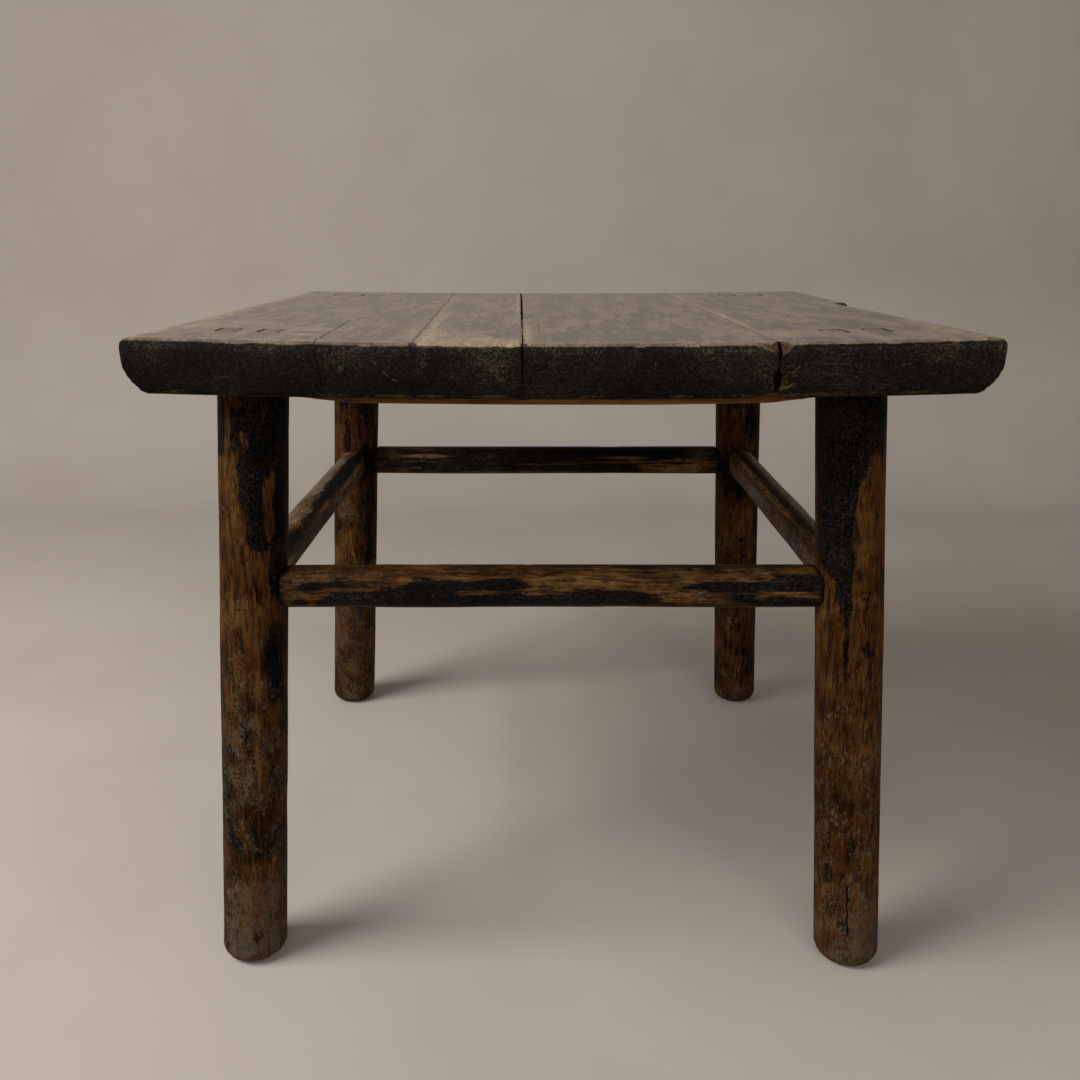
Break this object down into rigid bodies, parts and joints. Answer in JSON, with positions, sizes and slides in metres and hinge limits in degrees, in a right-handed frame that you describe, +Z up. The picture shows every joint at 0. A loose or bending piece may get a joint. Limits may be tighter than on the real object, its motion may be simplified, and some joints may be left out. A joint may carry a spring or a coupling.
{
  "type": "square side table",
  "caption": "Square plank-top side table on splayed round legs tied by a ring of stretchers, with dovetailed battens under the top and wedged through tenons.",
  "frame": {"origin": "on the floor, under the centre of the square top", "axes": "+Z up, +Y from the front edge to the back edge, +X to the right seen from the front"},
  "size_m": [0.62, 0.62, 0.54],
  "materials": {
    "top_boards": "worn dark lacquer over brown wood, satin",
    "legs": "golden brown wood with patches of black lacquer, dull satin",
    "stretchers": "brown wood rubbed bare in patches of black lacquer, dull satin",
    "battens": "bare brown wood, dull",
    "pins_and_wedges": "bare pale wood, dull"
  },
  "bodies": {
    "root": {"left_board": "top_boards", "narrow_board": "top_boards", "middle_board": "top_boards", "right_board": "top_boards", "left_joint_pins": "pins_and_wedges", "middle_joint_pins": "pins_and_wedges", "right_joint_pins": "pins_and_wedges", "front_batten": "battens", "front_stretcher": "stretchers", "front_left_leg": "legs", "front_left_leg_left_wedge": "pins_and_wedges", "front_left_leg_right_wedge": "pins_and_wedges", "front_right_leg": "legs", "front_right_leg_left_wedge": "pins_and_wedges", "front_right_leg_right_wedge": "pins_and_wedges", "back_batten": "battens", "back_stretcher": "stretchers", "back_left_leg": "legs", "back_left_leg_left_wedge": "pins_and_wedges", "back_left_leg_right_wedge": "pins_and_wedges", "back_right_leg": "legs", "back_right_leg_left_wedge": "pins_and_wedges", "back_right_leg_right_wedge": "pins_and_wedges", "left_stretcher": "stretchers", "left_stretcher_front_wedge": "pins_and_wedges", "left_stretcher_back_wedge": "pins_and_wedges", "right_stretcher": "stretchers", "right_stretcher_front_wedge": "pins_and_wedges", "right_stretcher_back_wedge": "pins_and_wedges"}
  },
  "joints": []
}
